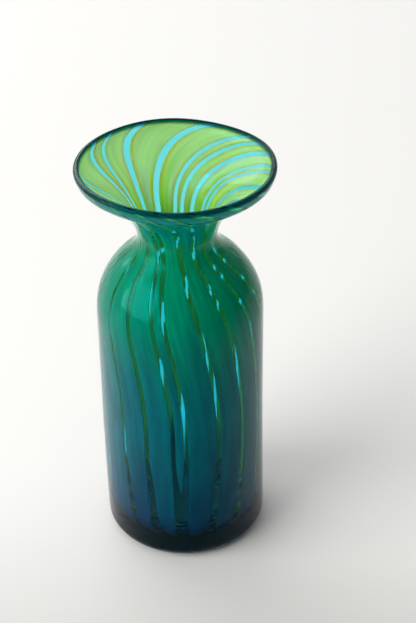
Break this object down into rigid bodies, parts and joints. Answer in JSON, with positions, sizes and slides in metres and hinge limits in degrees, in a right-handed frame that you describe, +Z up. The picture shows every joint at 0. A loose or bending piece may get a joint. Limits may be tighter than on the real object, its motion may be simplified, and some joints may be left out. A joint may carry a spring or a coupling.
{
  "type": "vase",
  "caption": "Hand blown cased glass vase: straight bottle body, narrow neck and wide flared mouth, green straps and turquoise stripes under a teal to deep blue casing.",
  "frame": {"origin": "centre of the foot, on the surface that the vase stands on", "axes": "+Z up the vase's axis towards the mouth; -Y is the front, with +X to its right"},
  "size_m": [0.0897, 0.0898, 0.2016],
  "materials": {
    "gather_glass": "clear pale aqua, fire polished",
    "casing_glass": "teal deepening to navy blue, fire polished",
    "silver_glass": "semi-opaque yellow green with ochre edges"
  },
  "bodies": {
    "root": {"inner_gather": "gather_glass", "outer_casing": "casing_glass", "silver_strap_01": "silver_glass", "silver_strap_02": "silver_glass", "silver_strap_03": "silver_glass", "silver_strap_04": "silver_glass", "silver_strap_05": "silver_glass", "silver_strap_06": "silver_glass", "silver_strap_07": "silver_glass", "silver_strap_08": "silver_glass", "silver_strap_09": "silver_glass", "silver_strap_10": "silver_glass", "silver_strap_11": "silver_glass", "silver_strap_12": "silver_glass", "silver_strap_13": "silver_glass", "silver_strap_14": "silver_glass", "silver_strap_15": "silver_glass", "silver_strap_16": "silver_glass", "silver_strap_17": "silver_glass", "silver_strap_18": "silver_glass", "silver_strap_19": "silver_glass"}
  },
  "joints": []
}
